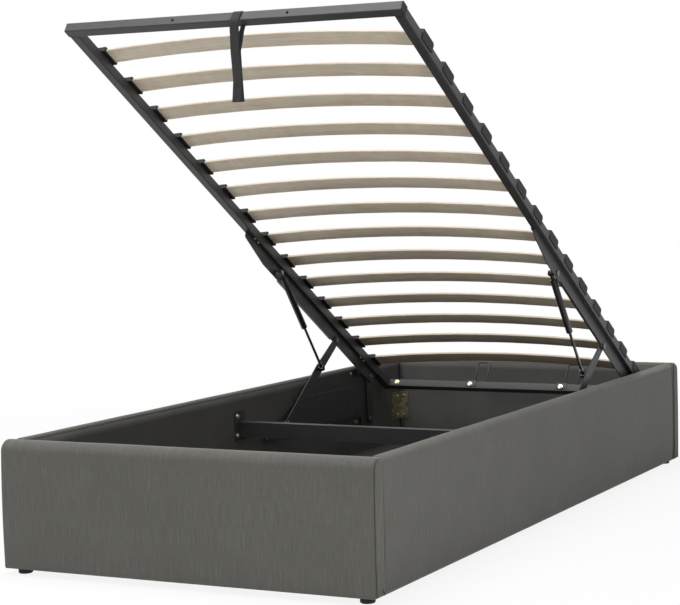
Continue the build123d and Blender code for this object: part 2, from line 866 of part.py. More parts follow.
with BuildPart() as base_rivets:
    for side, _ in sides:
        lever_head = lever_inner - seat_gap
        add_steps(side, lever_base, (
            (lever_head - pivot_head_height, lever_head, pivot_head_radius),
            (lever_head, web_outer, pivot_radius),
            (lever_outer + seat_gap, plate_inner, spacer_radius),
            (web_outer, web_outer + pivot_head_height, pivot_head_radius),
        ))
        link_head = link_inner - seat_gap
        add_steps(side, link_base, (
            (link_head - pivot_head_height, link_head, pivot_head_radius),
            (link_head, web_outer, pivot_radius),
            (link_outer + seat_gap, plate_inner, spacer_radius),
            (web_outer, web_outer + pivot_head_height, pivot_head_radius),
        ))
save(base_rivets, "base_rivets")

stud_end = strut_axis_out - eye_width / 2 - seat_gap - stud_clip_thickness
stud_collar = strut_axis_out + eye_width / 2 + seat_gap
for side, hand in sides:
    with BuildPart() as front_lever:
        with BuildSketch(side_plane(side, lever_inner, lever_outer)):
            with Locations(lever_base, lever_top, strut_seat):
                Circle(lever_half_width)
            make_hull()
            with Locations(lever_base, lever_top):
                Circle(pivot_radius + pivot_clearance, mode=Mode.SUBTRACT)
            with Locations(strut_seat):
                Circle(pivot_radius, mode=Mode.SUBTRACT)
        extrude(amount=lever_thickness)
    save(front_lever, f"{hand}_front_lever")

    with BuildPart() as rear_link:
        with BuildSketch(side_plane(side, link_inner, link_outer)):
            with Locations(link_base, link_top):
                Circle(link_half_width)
            make_hull()
            with Locations(link_base):
                Circle(pivot_radius + pivot_clearance, mode=Mode.SUBTRACT)
            with Locations(link_top):
                Circle(pivot_radius, mode=Mode.SUBTRACT)
        extrude(amount=link_thickness)
    save(rear_link, f"{hand}_rear_link")

# Studs on the levers, and the outer heads of the rear links' upper pivots
with BuildPart() as lever_studs:
    for side, _ in sides:
        add_steps(side, strut_seat, (
            (stud_collar, lever_inner, stud_clip_radius),
            (lever_inner, lever_outer, pivot_radius),
        ))
save(lever_studs, "lever_studs")

with BuildPart() as link_rivets:
    for side, _ in sides:
        add_steps(side, link_top, (
            (link_inner, link_outer, pivot_radius),
            (link_outer, link_outer + stud_clip_thickness, stud_clip_radius),
        ))
save(link_rivets, "link_rivets")

# Lift arms: a folded bar with its flange under the side tube and a lip along its lower edge
for side, hand in sides:
    with BuildPart() as arm:
        with BuildSketch(platform_side_plane(side, arm_inner, arm_outer)) as web:
            with BuildLine():
                Polyline(
                    (-arm_tip_u, 0),
                    (-arm_tip_u, -arm_tip_depth),
                    (-arm_taper_u, -arm_depth),
                    (-arm_heel_taper_u, -arm_depth),
                    (-arm_heel_u, -arm_heel_depth),
                    (-arm_heel_u, 0),
                    close=True,
                )
            make_face()
            lower_corners = web.vertices().sort_by(Axis.Y)[:4]
            fillet(lower_corners, radius=arm_corner)
            with Locations(
                (-lever_pivot_u, -lever_pivot_drop),
                (-link_pivot_u, -link_pivot_drop),
                (-strut_pivot_u, -strut_pivot_drop),
            ):
                Circle(pivot_radius, mode=Mode.SUBTRACT)
        extrude(amount=arm_sheet)
        flange_side = arm_outer - arm_flange_width
        with BuildSketch(platform_side_plane(side, flange_side, arm_outer)):
            with Locations((-(arm_tip_u + arm_heel_u) / 2, -arm_sheet / 2)):
                Rectangle(arm_tip_u - arm_heel_u, arm_sheet)
        extrude(amount=arm_flange_width)
        with BuildSketch(platform_side_plane(side, arm_inner, arm_outer + arm_lip)):
            with Locations((-(arm_lip_start_u + arm_lip_end_u) / 2, arm_sheet / 2 - arm_depth)):
                Rectangle(arm_lip_end_u - arm_lip_start_u, arm_sheet)
        extrude(amount=arm_sheet + arm_lip)
        with BuildSketch(platform.offset(-arm_sheet)):
            with Locations(*[spot for spot in arm_bolt_spots if spot[0] * side > 0]):
                Circle(arm_bolt_radius)
        extrude(amount=arm_sheet, mode=Mode.SUBTRACT)
    save(arm, f"{hand}_lift_arm")

with BuildPart() as arm_bolts:
    with BuildSketch(platform.offset(-arm_sheet)):
        with Locations(*arm_bolt_spots):
            RegularPolygon(arm_bolt_head_radius, 6)
    extrude(amount=-arm_bolt_head_height)
    with BuildSketch(platform.offset(-arm_sheet)):
        with Locations(*arm_bolt_spots):
            Circle(arm_bolt_radius)
    extrude(amount=arm_bolt_reach)
save(arm_bolts, "arm_bolts")

with BuildPart() as arm_rivets:
    for side, _ in sides:
        lever_head = lever_inner - seat_gap
        add_steps(side, lever_top, (
            (lever_head - pivot_head_height, lever_head, pivot_head_radius),
            (lever_head, arm_outer, pivot_radius),
            (lever_outer + seat_gap, arm_inner, spacer_radius),
            (arm_outer, arm_outer + pivot_head_height, pivot_head_radius),
        ))
        add_steps(side, link_top, (
            (arm_inner - pivot_head_height, arm_inner, pivot_head_radius),
            (arm_inner, arm_outer, pivot_radius),
            (arm_outer, link_inner - seat_gap, spacer_radius),
        ))
        add_steps(side, strut_top, (
            (stud_end, arm_outer, pivot_radius),
            (stud_end, stud_end + stud_clip_thickness, stud_clip_radius),
            (stud_collar, arm_inner, stud_clip_radius),
            (arm_outer, arm_outer + pivot_head_height, pivot_head_radius),
        ))
save(arm_rivets, "arm_rivets")

# Gas struts: each is drawn along its own axis, from the upper eye to the lower one
strut_length = hypot(strut_seat[0] - strut_top[0], strut_seat[1] - strut_top[1])
strut_run = (
    0,
    (strut_seat[0] - strut_top[0]) / strut_length,
    (strut_seat[1] - strut_top[1]) / strut_length,
)
bore_radius = strut_radius - strut_wall
rod_inner_end = strut_body_length - rod_reach_inside
for side, hand in sides:
    strut_axis = Plane(
        origin=(side * strut_axis_out, strut_top[0], strut_top[1]), x_dir=(1, 0, 0), z_dir=strut_run
    )
    eye_near = strut_axis_out - eye_width / 2
    eye_far = strut_axis_out + eye_width / 2
    with BuildPart() as cylinder:
        with BuildSketch(strut_axis):
            Circle(rod_boss_radius)
        extrude(amount=strut_neck_start)
        add_steps(side, strut_top, ((eye_near, eye_far, eye_radius),))
        with BuildSketch(strut_axis.offset(strut_neck_start)):
            Circle(strut_radius)
        extrude(amount=strut_body_length - strut_neck_start)
        with BuildSketch(strut_axis.offset(strut_neck_start + strut_floor_thickness)):
            Circle(bore_radius)
        bore_length = strut_body_length - strut_neck_start - strut_floor_thickness - strut_guide_length
        extrude(amount=bore_length, mode=Mode.SUBTRACT)
        with BuildSketch(strut_axis.offset(strut_body_length - strut_guide_length)):
            Circle(rod_radius + rod_clearance)
        extrude(amount=strut_guide_length, mode=Mode.SUBTRACT)
        with BuildSketch(side_plane(side, eye_near, eye_far)):
            with Locations(strut_top):
                Circle(pivot_radius + eye_clearance)
        extrude(amount=eye_width, mode=Mode.SUBTRACT)
    save(cylinder, f"{hand}_strut_cylinder")

    with BuildPart() as rod:
        with BuildSketch(strut_axis.offset(rod_inner_end)):
            Circle(bore_radius - piston_clearance)
        extrude(amount=piston_length)
        with BuildSketch(strut_axis.offset(rod_inner_end)):
            Circle(rod_radius)
        extrude(amount=strut_length - rod_inner_end)
        with BuildSketch(strut_axis.offset(strut_length - rod_boss_length)):
            Circle(rod_boss_radius)
        extrude(amount=rod_boss_length)
        add_steps(side, strut_seat, ((eye_near, eye_far, eye_radius),))
    save(rod, f"{hand}_strut_rod")

# Mattress stops: bent wire loops that stand on the head bar, each with a folded bracket
bracket_top = tube_size + stop_bracket_thickness
with BuildPart() as stop_brackets:
    for middle in stop_middles:
        bracket_w = middle - stop_width / 2 - stop_bracket_shift
        low = bracket_w - stop_bracket_width / 2
        plate_depth = stop_bracket_depth + stop_bracket_thickness
        with BuildSketch(platform_side_plane(1, low, low + stop_bracket_width)):
            with Locations((-tube_size - stop_bracket_thickness, bracket_top)):
                Rectangle(plate_depth, stop_bracket_thickness, align=(Align.MIN, Align.MAX))
                Rectangle(stop_bracket_thickness, stop_bracket_drop, align=(Align.MIN, Align.MAX))
        extrude(amount=stop_bracket_width)
    with BuildSketch(cross_plane(tube_size)):
        with Locations(*[(w, stop_bolt_n) for w in stop_bolt_ws]):
            Circle(bolt_radius)
    extrude(amount=stop_bracket_thickness, mode=Mode.SUBTRACT)
save(stop_brackets, "stop_brackets")

wire_plane = cross_plane(stop_wire_u)
with BuildPart() as mattress_stops:
    for middle in stop_middles:
        left = middle - stop_width / 2
        right = middle + stop_width / 2
        top = tube_size + stop_height
        with BuildLine(wire_plane) as wire:
            FilletPolyline((left, bracket_top), (left, top), (right, top), (right, tube_size), radius=stop_bend)
        with BuildSketch(platform.offset(bracket_top)):
            with Locations((left, -stop_wire_u)):
                Circle(stop_wire_radius)
        sweep(path=wire.line)
save(mattress_stops, "mattress_stops")

with BuildPart() as frame_bolts:
    seat = cross_plane(tube_size + stop_bracket_thickness)
    reach = bolt_length - bolt_head_height
    add_fixings(seat, -1, [(w, stop_bolt_n) for w in stop_bolt_ws], bolt_radius, reach,
                bolt_head_radius, bolt_head_height, bolt_washer_radius)
    add_fixings(cross_plane(tube_size), -1, [(w, stop_bolt_n) for w in frame_bolt_ws], bolt_radius, reach,
                bolt_head_radius, bolt_head_height, bolt_washer_radius)
save(frame_bolts, "frame_bolts")

# Lift strap: a closed loop of webbing that hangs over the foot bar
bar_front_low = yz(platform_length, 0)
bar_front_high = yz(platform_length, tube_size)
bar_back_high = yz(platform_length - tube_size, tube_size)
bar_back_low = yz(platform_length - tube_size, 0)
strap_end = bar_front_high[1] - strap_drop
strap_join = bar_front_high[1] - strap_join_drop
strand_y = bar_front_low[0]
with BuildPart() as lift_strap:
    with BuildSketch(side_plane(1, strap_w - strap_width / 2, strap_w + strap_width / 2)) as loop:
        with BuildLine():
            Polyline(
                bar_front_low,
                bar_front_high,
                bar_back_high,
                bar_back_low,
                (strand_y + strap_slit, strap_join),
                (strand_y + strap_slit, strap_end),
                (strand_y, strap_end),
                close=True,
            )
        core = make_face()
        offset(core, amount=strap_gap + strap_thickness, kind=Kind.ARC, mode=Mode.REPLACE)
        offset(core, amount=strap_gap, kind=Kind.ARC, mode=Mode.SUBTRACT)
    extrude(amount=strap_width)
save(lift_strap, "lift_strap")
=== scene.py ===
# %% [markdown]
# # An upholstered ottoman storage bed
# The bed is a padded box on four glides. Its slatted platform swings up from the foot end on
# levers, links and gas struts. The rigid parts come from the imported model, which fixes every place
# and size. This file dresses them: it softens their edges, upholsters the panels, lines the box,
# hangs the strap and gives every surface a finish.

# %% Load the frame
import json
from collections import namedtuple
from math import radians

import bmesh
import bpy
import numpy as np
from mathutils import Matrix, Vector


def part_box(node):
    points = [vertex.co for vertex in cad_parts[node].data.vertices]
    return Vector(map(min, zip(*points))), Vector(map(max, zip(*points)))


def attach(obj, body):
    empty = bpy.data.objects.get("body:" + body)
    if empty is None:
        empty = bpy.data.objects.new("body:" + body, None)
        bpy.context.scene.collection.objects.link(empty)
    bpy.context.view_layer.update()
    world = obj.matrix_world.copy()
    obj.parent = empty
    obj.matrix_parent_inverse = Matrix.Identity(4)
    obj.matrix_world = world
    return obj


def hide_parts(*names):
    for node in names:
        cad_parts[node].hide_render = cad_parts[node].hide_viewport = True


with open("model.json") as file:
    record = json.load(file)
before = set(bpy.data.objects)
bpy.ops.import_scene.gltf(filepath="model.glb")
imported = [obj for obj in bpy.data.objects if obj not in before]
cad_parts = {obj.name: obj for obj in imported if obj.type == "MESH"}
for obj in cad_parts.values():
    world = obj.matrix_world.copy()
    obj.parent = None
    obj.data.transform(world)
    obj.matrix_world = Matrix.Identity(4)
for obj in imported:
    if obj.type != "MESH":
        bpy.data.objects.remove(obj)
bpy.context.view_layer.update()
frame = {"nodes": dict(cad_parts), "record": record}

MM = 0.001
bodies = frame["record"]["behaviour"]["bodies"]
body_of = {node: body for body, nodes in bodies.items() for node in nodes}
slot_of = {entry["node"]: entry["material_slot"] for entry in frame["record"]["subparts"]}

# %% [markdown]
# ## Shader arithmetic
# A finish is mostly arithmetic on patterns. It could be a long list of node links, but that hides
# the sums. Wrapping a socket in a small class lets them be written as ordinary expressions.

# %% A socket that takes part in arithmetic


class Socket:
    """One output of a shader node. Each operator adds the Math node that does its sum."""

    def __init__(self, tree, output):
        self.tree, self.output = tree, output

    def math(self, operation, other=None, reflected=False):
        """A Math node on this socket and another value; reflected puts the other value first."""
        node = self.tree.nodes.new("ShaderNodeMath")
        node.operation = operation
        for place, value in enumerate((other, self) if reflected else (self, other)):
            if isinstance(value, Socket):
                self.tree.links.new(value.output, node.inputs[place])
            elif value is not None:
                node.inputs[place].default_value = value
        return Socket(self.tree, node.outputs[0])

    def __add__(self, other):
        return self.math("ADD", other)

    def __radd__(self, other):
        return self.math("ADD", other, reflected=True)

    def __sub__(self, other):
        return self.math("SUBTRACT", other)

    def __rsub__(self, other):
        return self.math("SUBTRACT", other, reflected=True)

    def __mul__(self, other):
        return self.math("MULTIPLY", other)

    def __rmul__(self, other):
        return self.math("MULTIPLY", other, reflected=True)


print("sockets add, subtract and multiply")

# %% [markdown]
# ## A finish under construction
# Every finish looks up where a point lies, makes patterns there, and mixes colours by them. One
# class holds those few steps, so that each finish below is a handful of lines. Places come from the
# object itself or, on cloth, from a map in metres along and across the cloth.

# %% A material and the nodes that it needs


class Finish:
    """A material under construction, with one method that adds any node."""

    def __init__(self, name):
        self.material = bpy.data.materials.new(name)
        self.material.use_nodes = True
        self.tree = self.material.node_tree
        self.shader = self.tree.nodes["Principled BSDF"]

    def node(self, kind, settings=None, sockets=None, output=0):
        """Adds a node, makes its settings first, then fills or links its sockets."""
        node = self.tree.nodes.new(kind)
        for key, value in (settings or {}).items():
            if key == "stops":
                ramp = node.color_ramp
                while len(ramp.elements) < len(value):
                    ramp.elements.new(0.5)
                for element, (place, colour) in zip(ramp.elements, value):
                    element.position, element.color = place, (*colour, 1)
            else:
                setattr(node, key, value)
        for key, value in (sockets or {}).items():
            if isinstance(value, Socket):
                self.tree.links.new(value.output, node.inputs[key])
            else:
                node.inputs[key].default_value = value
        return Socket(self.tree, node.outputs[output])

    def spot(self, stretch=(1, 1, 1), turn=(0, 0, 0), cloth=False):
        """Where a point lies: on the object, or on its cloth, first turned and then scaled."""
        if cloth:
            place = self.node("ShaderNodeUVMap", {"uv_map": "cloth"})
        else:
            place = self.node("ShaderNodeTexCoord", output="Object")
        if any(turn):
            place = self.node("ShaderNodeMapping", {}, {"Vector": place, "Rotation": turn})
        return self.node("ShaderNodeMapping", {}, {"Vector": place, "Scale": stretch})

    def noise(self, where, detail=2.0, roughness=0.5):
        """Smooth random values between 0 and 1."""
        sockets = {"Vector": where, "Scale": 1.0, "Detail": detail, "Roughness": roughness}
        return self.node("ShaderNodeTexNoise", {}, sockets, "Fac")

    def ramp(self, value, *stops):
        """A colour looked up along a value, from stops written as (place, colour code)."""
        stops = [(place, linear(code)) for place, code in stops]
        return self.node("ShaderNodeValToRGB", {"stops": stops}, {"Fac": value}, "Color")

    def span(self, value, start, end, at_start, at_end):
        """A value carried from one range to another, and held at the ends."""
        sockets = {"Value": value, "From Min": start, "From Max": end,
                   "To Min": at_start, "To Max": at_end}
        return self.node("ShaderNodeMapRange", {}, sockets, "Result")

    def blend(self, share, first, second):
        """Two colours mixed by a share from a pattern. A Mix node takes colours at 6 and 7."""
        node = self.tree.nodes.new("ShaderNodeMix")
        node.data_type = "RGBA"
        for place, value in ((0, share), (6, first), (7, second)):
            if isinstance(value, Socket):
                self.tree.links.new(value.output, node.inputs[place])
            else:
                node.inputs[place].default_value = (*value, 1)
        return Socket(self.tree, node.outputs[2])

    def bump(self, height, distance):
        """Small relief, in metres."""
        sockets = {"Height": height, "Distance": distance, "Strength": 1.0}
        return self.node("ShaderNodeBump", {}, sockets, "Normal")

    def set(self, **values):
        """Fills the surface shader: Base_Color=... and so on."""
        for key, value in values.items():
            socket = self.shader.inputs[key.replace("_", " ")]
            if isinstance(value, Socket):
                self.tree.links.new(value.output, socket)
            else:
                socket.default_value = (*value, 1) if isinstance(value, tuple) else value
        return self.material


def linear(code):
    """A colour written as in a paint chart, turned into the light values that shading uses."""
    values = np.array([int(code[i:i + 2], 16) / 255 for i in (1, 3, 5)])
    low = values / 12.92
    high = ((values + 0.055) / 1.055) ** 2.4
    return tuple(float(v) for v in np.where(values <= 0.04045, low, high))


finishes = {}
print("mid grey as light values:", linear("#808080"))

# %% [markdown]
# ## Grey linen-look upholstery
# The cloth is woven from uneven yarn, so thicker threads show as short vertical streaks. A picture
# of cloth would repeat and would need a file, so stretched noise stands for the yarn: long and
# narrow for slubs and threads, short and wide for the weft, and very broad for wear. The pattern
# reads the cloth's own map, which runs along the panel and up over its roll, so that the threads
# turn over the top edge with the cloth. The seam of an end panel's boxing strip is a line of
# constant distance on the same map, and painted shade darkens the cloth's colour along it, for the
# shade in the seam's groove, without a piece of its own.

# %% Upholstery

END_CORNER = 8 * MM
SEAM_AT = END_CORNER * np.pi / 4
END_RUN = 2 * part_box("footboard_cover")[1].x + END_CORNER * (np.pi - 2)


def make_upholstery():
    f = Finish("upholstery")
    slubs = f.noise(f.spot((520, 15, 1), cloth=True))
    threads = f.noise(f.spot((1300, 45, 1), cloth=True))
    wefts = f.noise(f.spot((26, 800, 1), cloth=True))
    cloud = f.noise(f.spot((5, 4, 1), cloth=True), detail=3)
    tone = slubs * 0.38 + threads * 0.32 + wefts * 0.14 + cloud * 0.16
    cloth = f.ramp(tone, (0.3, "#595854"), (0.52, "#676661"), (0.72, "#817f79"))
    # Painted shade: the colour darkens to #2b2a28 along each seam line, standing for shade in the
    # groove.
    along = f.node("ShaderNodeSeparateXYZ", {}, {"Vector": f.spot(cloth=True)}, "X")
    near, far = ((along - place).math("ABSOLUTE") for place in (SEAM_AT, END_RUN - SEAM_AT))
    seam = f.span(near.math("MINIMUM", far), 0.5 * MM, 1.6 * MM, 0.75, 0.0)
    colour = f.blend(seam, cloth, linear("#2b2a28"))
    relief = f.bump(slubs * 0.35 + threads * 0.35 + wefts * 0.3, 0.4 * MM)
    return f.set(Base_Color=colour, Roughness=0.92, Sheen_Weight=0.4, Sheen_Roughness=0.4,
                 Specular_IOR_Level=0.2, Normal=relief)


finishes["upholstery"] = make_upholstery()
print("seams at", round(SEAM_AT, 4), "and", round(END_RUN - SEAM_AT, 4), "m along the cloth")

# %% [markdown]
# ## Dark lining
# Inside the box a thin dark non-woven cloth covers the boards. Its fibres lie every way, so the
# pattern has no direction, and broad clouds stand for the glue and the boards that show through
# faintly. One plain colour would do in the shade, but not where light falls along the sheet.

# %% Lining


def make_lining():
    f = Finish("lining")
    fibres = f.noise(f.spot((420, 420, 1), cloth=True), detail=4, roughness=0.7)
    cloud = f.noise(f.spot((4, 4, 1), cloth=True), detail=3)
    colour = f.ramp(fibres * 0.5 + cloud * 0.5, (0.3, "#454543"), (0.7, "#626160"))
    return f.set(Base_Color=colour, Roughness=0.85, Specular_IOR_Level=0.25,
                 Normal=f.bump(fibres, 0.4 * MM))


finishes["lining"] = make_lining()
print("lining made")

# %% [markdown]
# ## Birch slats
# The slats are pressed from thin birch layers, so their faces show a fine grain along the slat and
# their long edges show the layers as thin lines. One noise field, read through scales that differ
# by direction, gives both. The places are turned by the platform's tilt first, so that the layers
# lie parallel to the slat's faces. A very broad pattern makes neighbouring slats differ a little.

# %% Birch

TILT = radians(32.1)


def make_birch():
    f = Finish("birch")
    level = (TILT, 0, 0)
    grain = f.noise(f.spot((6, 190, 190), level), detail=4, roughness=0.6)
    flecks = f.noise(f.spot((45, 900, 900), level))
    boards = f.noise(f.spot((0.6, 5.5, 0.4), level), detail=1)
    clouds = f.noise(f.spot((9, 24, 9), level), detail=3)
    layers = f.noise(f.spot((1.2, 3, 900), level), detail=1)
    tone = grain * 0.34 + flecks * 0.14 + boards * 0.24 + clouds * 0.16 + layers * 0.12
    colour = f.ramp(tone, (0.3, "#b0a087"), (0.5, "#cdc0ab"), (0.68, "#e0d7c7"))
    return f.set(Base_Color=colour, Roughness=0.5 + 0.12 * grain,
                 Normal=f.bump(grain + flecks, 0.2 * MM))


finishes["birch"] = make_birch()
print("birch made")

# %% [markdown]
# ## Coated steel and black plastic
# Powder coat cures into a fine orange-peel skin that scatters a soft highlight, and moulded plastic
# has a finer one. A plain grey would make the wide tube faces look like paper. So a fine noise
# gives the skin as relief, and a coarse one varies tone and gloss, as dust and handling do.

# %% Coated finishes


def make_coated(name, colour, roughness, peel=0.12 * MM, grit=900):
    """A painted, coated or moulded surface with a fine skin."""
    f = Finish(name)
    skin = f.noise(f.spot((grit, grit, grit)))
    dust = f.noise(f.spot((14, 14, 14)), detail=4, roughness=0.65)
    dark = linear(colour)
    light = tuple(min(1.0, v * 1.35 + 0.004) for v in dark)
    return f.set(Base_Color=f.blend(dust, dark, light), Specular_IOR_Level=0.35,
                 Roughness=roughness - 0.08 + 0.16 * dust, Normal=f.bump(skin, peel))


finishes["grey_steel"] = make_coated("grey_steel", "#2f2f2f", 0.46)
finishes["strut_black"] = make_coated("strut_black", "#1d1d1e", 0.3, 0.03 * MM)
finishes["black_plastic"] = make_coated("black_plastic", "#0e0e0e", 0.65, 0.2 * MM, 1500)
print("coated finishes made")

# %% [markdown]
# ## Fittings of bare or plated metal
# The corner brackets, bolts and screws are zinc plated, and their film changes from spot to spot
# between a light and a dark tone. Rivets, studs and the gas struts' rods are darker steel. One
# colour each would look like paint. They share one pattern, so one function makes them all, with
# the size of its patches as a choice.

# %% Metal finishes


def make_plated(name, dark, light, roughness, patch, metallic=1.0):
    """A metal whose tone varies in patches; patch is the scale of that pattern, per metre."""
    f = Finish(name)
    film = f.noise(f.spot((patch, patch, patch)), detail=3, roughness=0.6)
    scratch = f.noise(f.spot((900, 120, 900)))
    return f.set(Base_Color=f.ramp(film, (0.35, dark), (0.65, light)), Metallic=metallic,
                 Roughness=roughness - 0.1 + 0.2 * scratch, Normal=f.bump(scratch, 0.05 * MM))


finishes["yellow_zinc"] = make_plated("yellow_zinc", "#4d4938", "#b0a888", 0.45, 210, 0.7)
finishes["zinc_fixings"] = make_plated("zinc_fixings", "#b5a878", "#e6dfc0", 0.3, 300)
finishes["pivot_steel"] = make_plated("pivot_steel", "#4a4a4b", "#8b8a87", 0.38, 200)
finishes["strut_rod_steel"] = make_plated("strut_rod_steel", "#4c4d4f", "#77787b", 0.2, 40)
print("metal finishes made")

# %% [markdown]
# ## Wood that is mostly hidden
# Boards, battens and the box's floor show only from below, from behind or through the slats. They
# still get chips or grain, from one noise that is stretched along the bed.

# %% Boards


def make_board(name, dark, light, grain):
    """Sawn or pressed wood, with a grain stretched along Y."""
    f = Finish(name)
    chips = f.noise(f.spot((grain, grain * 0.2, grain)), detail=4, roughness=0.7)
    return f.set(Base_Color=f.ramp(chips, (0.35, dark), (0.65, light)), Roughness=0.8,
                 Normal=f.bump(chips, 0.3 * MM))


finishes["chipboard"] = make_board("chipboard", "#94764c", "#c9ab7c", 260)
finishes["pine"] = make_board("pine", "#b08a55", "#d8b986", 120)
finishes["floor_hardboard"] = make_board("floor_hardboard", "#33302d", "#403d3a", 300)
print("boards made")

# %% [markdown]
# ## Webbing
# The strap is woven from heavy yarn in a herringbone. Modelled yarns would be far too many, so the
# weave is a sine wave across the strap, whose ribs run lengthwise. Adding a zigzag along the strap
# to its phase makes the ribs swerve to and fro, and a fine noise frays them.

# %% Webbing


def make_webbing():
    f = Finish("webbing")
    along, across = (
        f.node("ShaderNodeSeparateXYZ", {}, {"Vector": f.spot(cloth=True)}, axis) for axis in "XY"
    )
    zigzag = (along * 110).math("PINGPONG", 1.0)
    ribs = ((across * 900 + zigzag) * 6.283).math("SINE")
    fuzz = f.noise(f.spot((900, 900, 1), cloth=True))
    tone = ribs * 0.18 + 0.5 + (fuzz - 0.5) * 0.6
    colour = f.ramp(tone, (0.2, "#19191a"), (0.8, "#3a3a3b"))
    return f.set(Base_Color=colour, Roughness=0.8, Normal=f.bump(ribs * 0.5 + fuzz, 0.3 * MM))


finishes["webbing"] = make_webbing()
print("finishes:", ", ".join(sorted(finishes)))

# %% [markdown]
# ## Pins that turn
# A round pin is a prism of flat facets, and its corners would cut the facets of its hole as it
# turns. Finer facets would only make that rarer, so the pins of the platform's pivot are drawn a
# fraction of a millimetre thinner than their holes.

# %% Ease the pins

PIN_RADIUS = 4.0 * MM
PIN_EASE = 0.2 * MM


def ease_pins(mesh, axis_y, axis_z):
    """Moves the points that lie on a pin, about an axis along X, in towards that axis.

    A point whose distance from the axis is the pin's radius keeps its direction and gets the eased
    radius as its distance. All other points stay.
    """
    points = np.empty(len(mesh.vertices) * 3, dtype=np.float32)
    mesh.vertices.foreach_get("co", points)
    points = points.reshape(-1, 3)
    axis = (axis_y, axis_z)
    out = points[:, 1:] - axis
    far = np.linalg.norm(out, axis=1, keepdims=True)
    eased = out / np.maximum(far, 1e-9) * (PIN_RADIUS - PIN_EASE) + axis
    points[:, 1:] = np.where(np.abs(far - PIN_RADIUS) < 0.1 * MM, eased, points[:, 1:])
    mesh.vertices.foreach_set("co", points.reshape(-1))
    mesh.update()


joints = frame["record"]["behaviour"]["joints"]
platform_pivot = next(joint["pos_m"] for joint in joints if joint["name"] == "platform_turn")
print("platform pivot in metres:", platform_pivot)

# %% [markdown]
# ## Softened edges
# Sheet steel, plastic and wood never end in a perfect corner, and the thin highlight on a rounded
# edge is much of what makes a small part look real. A shader can fake it, but the mesh itself
# would stay sharp. So each rigid node is copied, its loose triangles are merged, and a narrow
# bevel rounds its edges. Curved faces are shaded smooth and wide flat ones flat, since smooth
# shading would spread a tube's round corners over its flat sides. The slats are arched, so they
# are smooth all over. The copy then stands for the node.

# %% Tell curved faces from flat ones

CURVED_UNDER = 6 * MM


def curved_faces(mesh):
    """Which faces belong to a curve: those whose area over their longest edge is small."""
    faces, edges = len(mesh.polygons), len(mesh.edges)
    areas, starts = np.empty(faces), np.empty(faces, dtype=np.int32)
    edge_of, ends = np.empty(len(mesh.loops), dtype=np.int32), np.empty(edges * 2, dtype=np.int32)
    points = np.empty(len(mesh.vertices) * 3)
    mesh.polygons.foreach_get("area", areas)
    mesh.polygons.foreach_get("loop_start", starts)
    mesh.loops.foreach_get("edge_index", edge_of)
    mesh.edges.foreach_get("vertices", ends)
    mesh.vertices.foreach_get("co", points)
    points = points.reshape(-1, 3)
    lengths = np.linalg.norm(points[ends[::2]] - points[ends[1::2]], axis=1)
    return areas / np.maximum.reduceat(lengths[edge_of], starts) < CURVED_UNDER


# %% Copy and soften the rigid nodes

edge_width_mm = {
    "grey_steel": 0.7, "black_plastic": 0.8, "birch": 1.6, "yellow_zinc": 0.5, "zinc_fixings": 0.7,
    "pivot_steel": 0.7, "strut_black": 0.6, "strut_rod_steel": 0.5, "chipboard": 0.5, "pine": 1.0,
    "floor_hardboard": 0.6,
}


def soften(node):
    """A merged copy of a CAD node with a narrow bevel on its edges."""
    slot = slot_of[node]
    mesh = frame["nodes"][node].data.copy()
    if node == "arm_rivets":
        ease_pins(mesh, platform_pivot[1], platform_pivot[2])
    work = bmesh.new()
    work.from_mesh(mesh)
    bmesh.ops.remove_doubles(work, verts=work.verts, dist=0.02 * MM)
    bmesh.ops.dissolve_limit(work, angle_limit=radians(1), verts=work.verts, edges=work.edges)
    work.to_mesh(mesh)
    work.free()
    mesh.materials.clear()
    mesh.materials.append(finishes[slot])
    mesh.polygons.foreach_set("use_smooth", curved_faces(mesh) | (slot == "birch"))
    piece = bpy.data.objects.new(f"{node}_finished", mesh)
    bpy.context.scene.collection.objects.link(piece)
    bevel = piece.modifiers.new("edges", "BEVEL")
    bevel.limit_method, bevel.angle_limit = "ANGLE", radians(32)
    bevel.width, bevel.segments = edge_width_mm[slot] * MM, 2
    bevel.harden_normals = True
    bevel.use_clamp_overlap = True
    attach(piece, body_of[node])
    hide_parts(node)
    return piece


softened = [soften(node) for node, slot in slot_of.items() if slot in edge_width_mm]
print("softened", len(softened), "nodes")

# %% [markdown]
# ## Cloth surfaces
# Every soft piece is a grid of points worked out at once with numpy, which gives the same mesh each
# run, where a simulation might not. The grid carries a map in metres, along and across the cloth,
# for the weave.

# %% Grid helper


def corners_of(grid):
    """The four corners of every cell of a grid, in turn."""
    return [grid[:-1, :-1], grid[:-1, 1:], grid[1:, 1:], grid[1:, :-1]]


def steps_along(points, axis):
    """How far each point lies from the next one along an axis of the grid."""
    return np.linalg.norm(np.diff(points, axis=axis), axis=-1)


